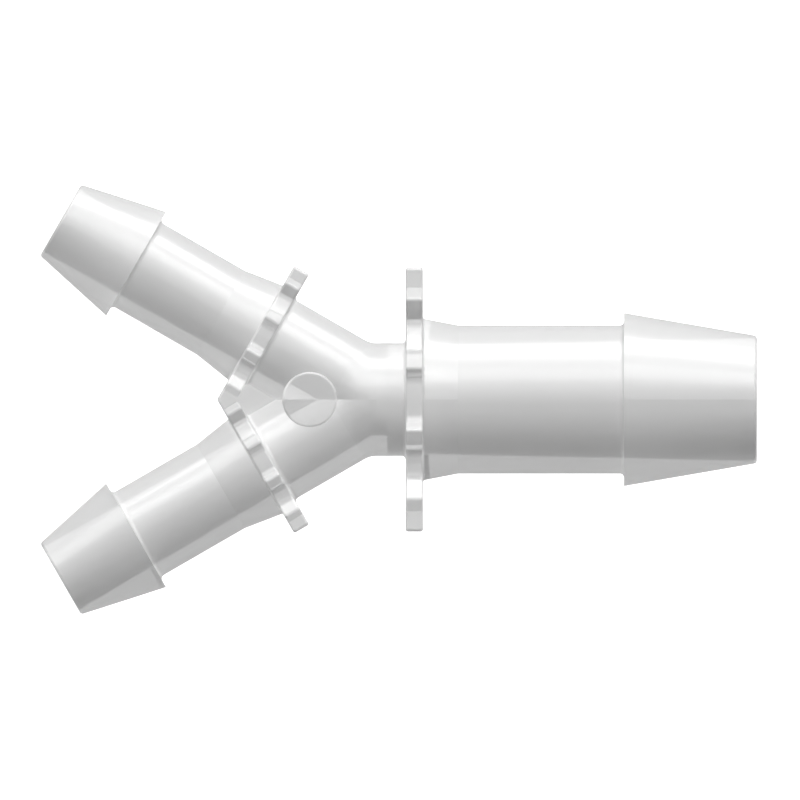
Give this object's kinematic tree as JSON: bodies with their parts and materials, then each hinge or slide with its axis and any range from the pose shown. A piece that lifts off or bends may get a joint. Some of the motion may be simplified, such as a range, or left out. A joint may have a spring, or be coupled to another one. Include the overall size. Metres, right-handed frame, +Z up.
{
  "type": "y hose barb reducer",
  "caption": "One-piece plastic Y hose barb reducer: a large barbed leg splits into two smaller barbed legs, with scalloped flanges as hose stops.",
  "frame": {"origin": "on the surface that the part rests on, under the middle of its outline", "axes": "+X towards the large barb, seen from above; +Y towards one small barb; +Z up. The part lies tilted by about 14 degrees about Y, on its large flange and its two small barbs, as it rests on a table"},
  "size_m": [0.089, 0.0536, 0.0338],
  "materials": {
    "natural_plastic": "smooth natural, uncoloured plastic, milky and translucent"
  },
  "bodies": {
    "root": {"y_fitting": "natural_plastic"}
  },
  "joints": []
}
